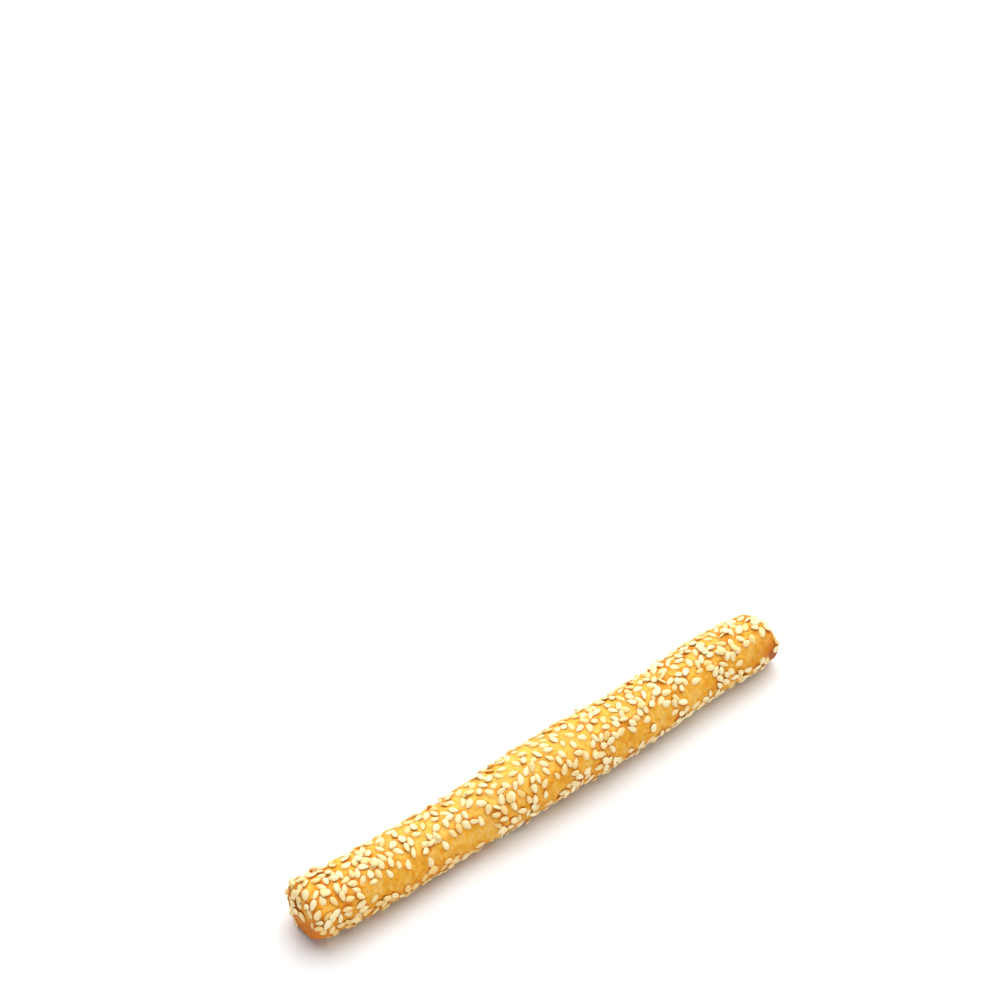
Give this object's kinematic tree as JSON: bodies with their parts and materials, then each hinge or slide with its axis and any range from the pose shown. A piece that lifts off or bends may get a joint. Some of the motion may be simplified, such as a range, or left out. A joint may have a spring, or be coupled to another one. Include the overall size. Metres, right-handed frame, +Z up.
{
  "type": "sesame breadstick",
  "caption": "Long, slightly wavy round breadstick with blunt ends, golden crust and whole sesame seeds baked into its skin, lying on a narrow flat strip.",
  "frame": {"origin": "under the middle of the stick, on the surface it rests on: the bottom centre of its box", "axes": "+X along the stick, towards the end whose lower side is more drawn in, +Z up as it lies, +Y across it; most of the bare streaks between the seeds run along its -Y flank"},
  "size_m": [0.1645, 0.0228, 0.0177],
  "materials": {
    "crust": "matte"
  },
  "bodies": {
    "root": {"breadstick": "crust"}
  },
  "joints": []
}
